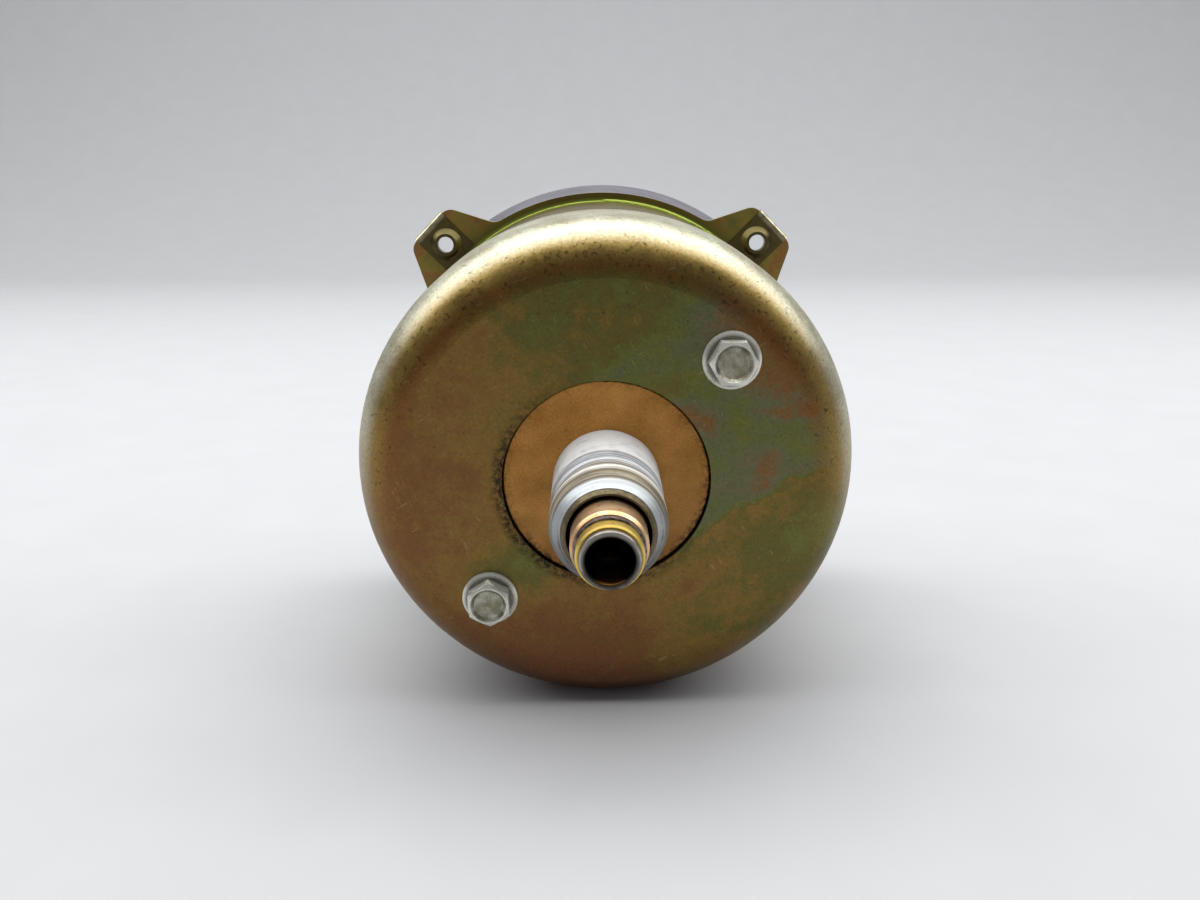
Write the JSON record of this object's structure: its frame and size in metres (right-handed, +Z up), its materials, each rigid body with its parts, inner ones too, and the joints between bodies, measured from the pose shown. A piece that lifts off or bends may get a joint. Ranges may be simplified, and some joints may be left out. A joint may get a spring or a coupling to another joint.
{
  "type": "recording tachometer",
  "caption": "Round panel tachometer with an hour recorder: drawn steel case, eared flange with clip nuts, and a bright drive stem with a hollow spindle at the back.",
  "frame": {"origin": "centre of the four mounting holes, on the front face of the ears", "axes": "+Y out of the dial towards the pilot, along the drive axis; +Z up; the drive stem points along -Y"},
  "size_m": [0.0852, 0.0942, 0.0852],
  "materials": {
    "plated_steel": "yellow chromate plating on drawn steel, worn",
    "bezel_metal": "satin",
    "gasket_rubber": "matt",
    "lens_glass": "clear",
    "spring_steel": "phosphated",
    "black_enamel": "matt black",
    "blackened_screw": "blackened",
    "bright_brass": "turned",
    "zinc_screw": "zinc plated",
    "clip_steel": "dark phosphate, worn",
    "cast_zinc": "gold chromated zinc casting",
    "brass_plate": "satin",
    "turned_steel": "turned bright, worn",
    "tarnished_brass": "tarnished",
    "bronze": "turned",
    "soft_iron": "nickel plated",
    "bright_steel": "bright",
    "spindle_steel": "ground, rounded end",
    "blued_steel": "blued",
    "magnet_alloy": "ground",
    "drum_white": "moulded",
    "drum_black": "moulded",
    "pinion_plastic": "moulded",
    "cup_aluminium": "spun",
    "pointer_paint": "matt white"
  },
  "bodies": {
    "case": {"rear_case": "plated_steel", "front_housing": "plated_steel", "bezel_ring": "bezel_metal", "lens_gasket": "gasket_rubber", "lens_glass": "lens_glass", "lens_snap_ring": "spring_steel", "dial_spacer": "black_enamel", "dial_plate": "black_enamel", "dial_screws": "blackened_screw", "stop_pin": "bright_brass", "case_screws": "zinc_screw", "clip_nuts": "clip_steel", "movement_frame": "cast_zinc", "front_plate": "brass_plate", "plate_screws": "zinc_screw", "drive_stem": "turned_steel", "stem_liner": "tarnished_brass", "stem_bush": "bronze", "cup_bridge": "brass_plate", "bridge_screws": "zinc_screw", "flux_cup": "soft_iron", "staff_bush": "bright_brass", "hairspring": "bronze", "hairspring_stud": "bright_brass", "counter_bracket": "bright_steel", "counter_axle": "bright_steel", "pinion_axle": "bright_steel"},
    "spindle": {"drive_spindle": "spindle_steel", "spindle_snap_ring": "blued_steel", "spindle_collar": "bright_brass", "drive_magnet": "magnet_alloy"},
    "cross": {"cross_shaft": "bright_steel", "cross_wheel": "bright_brass"},
    "lay": {"lay_shaft": "bright_steel", "lay_wheel": "bright_brass"},
    "tenths": {"counter_wheel": "bright_brass", "drum_1": "drum_white"},
    "hours": {"drum_2": "drum_black"},
    "tens": {"drum_3": "drum_black"},
    "hundreds": {"drum_4": "drum_black"},
    "thousands": {"drum_5": "drum_black"},
    "carry_1": {"transfer_pinion_1": "pinion_plastic"},
    "carry_2": {"transfer_pinion_2": "pinion_plastic"},
    "carry_3": {"transfer_pinion_3": "pinion_plastic"},
    "carry_4": {"transfer_pinion_4": "pinion_plastic"},
    "hand": {"pointer_staff": "bright_steel", "drag_cup": "cup_aluminium", "spring_collet": "bright_brass", "pointer": "pointer_paint", "pointer_cap": "black_enamel"}
  },
  "joints": [
    {"name": "spindle_turn", "type": "hinge", "parent": "case", "child": "spindle", "pos_m": [0, -0.0582, 0], "axis": [0, -1, 0], "continuous": true},
    {"name": "cross_turn", "type": "hinge", "parent": "case", "child": "cross", "pos_m": [-0.009, -0.0382, 0], "axis": [0, 0, 1], "continuous": true},
    {"name": "lay_turn", "type": "hinge", "parent": "case", "child": "lay", "pos_m": [-0.0166, -0.0582, -0.02335], "axis": [0, 1, 0], "continuous": true},
    {"name": "tenths_turn", "type": "hinge", "parent": "case", "child": "tenths", "pos_m": [0, -0.0127, -0.015], "axis": [-1, 0, 0], "continuous": true},
    {"name": "hours_turn", "type": "hinge", "parent": "case", "child": "hours", "pos_m": [0, -0.0127, -0.015], "axis": [-1, 0, 0], "continuous": true},
    {"name": "tens_turn", "type": "hinge", "parent": "case", "child": "tens", "pos_m": [0, -0.0127, -0.015], "axis": [-1, 0, 0], "continuous": true},
    {"name": "hundreds_turn", "type": "hinge", "parent": "case", "child": "hundreds", "pos_m": [0, -0.0127, -0.015], "axis": [-1, 0, 0], "continuous": true},
    {"name": "thousands_turn", "type": "hinge", "parent": "case", "child": "thousands", "pos_m": [0, -0.0127, -0.015], "axis": [-1, 0, 0], "continuous": true},
    {"name": "carry_1_turn", "type": "hinge", "parent": "case", "child": "carry_1", "pos_m": [0, -0.01904, -0.02134], "axis": [1, 0, 0], "continuous": true},
    {"name": "carry_2_turn", "type": "hinge", "parent": "case", "child": "carry_2", "pos_m": [0, -0.01904, -0.02134], "axis": [1, 0, 0], "continuous": true},
    {"name": "carry_3_turn", "type": "hinge", "parent": "case", "child": "carry_3", "pos_m": [0, -0.01904, -0.02134], "axis": [1, 0, 0], "continuous": true},
    {"name": "carry_4_turn", "type": "hinge", "parent": "case", "child": "carry_4", "pos_m": [0, -0.01904, -0.02134], "axis": [1, 0, 0], "continuous": true},
    {"name": "pointer_turn", "type": "hinge", "parent": "case", "child": "hand", "pos_m": [0, -0.0582, 0], "axis": [0, -1, 0], "range_deg": [0, 270], "stiffness_Nm_per_rad": 0.00002, "springref_deg": -17.19}
  ],
  "couplings": [
    {"joint": "cross_turn", "follows": "spindle_turn", "ratio": 0.025},
    {"joint": "lay_turn", "follows": "spindle_turn", "ratio": 0.000625},
    {"joint": "tenths_turn", "follows": "spindle_turn", "ratio": 0.000013889},
    {"joint": "hours_turn", "follows": "spindle_turn", "ratio": 0.0000013889},
    {"joint": "tens_turn", "follows": "spindle_turn", "ratio": 0.00000013889},
    {"joint": "hundreds_turn", "follows": "spindle_turn", "ratio": 0.000000013889},
    {"joint": "thousands_turn", "follows": "spindle_turn", "ratio": 0.0000000013889},
    {"joint": "carry_1_turn", "follows": "spindle_turn", "ratio": 0.0000034722},
    {"joint": "carry_2_turn", "follows": "spindle_turn", "ratio": 0.00000034722},
    {"joint": "carry_3_turn", "follows": "spindle_turn", "ratio": 0.000000034722},
    {"joint": "carry_4_turn", "follows": "spindle_turn", "ratio": 0.0000000034722}
  ]
}
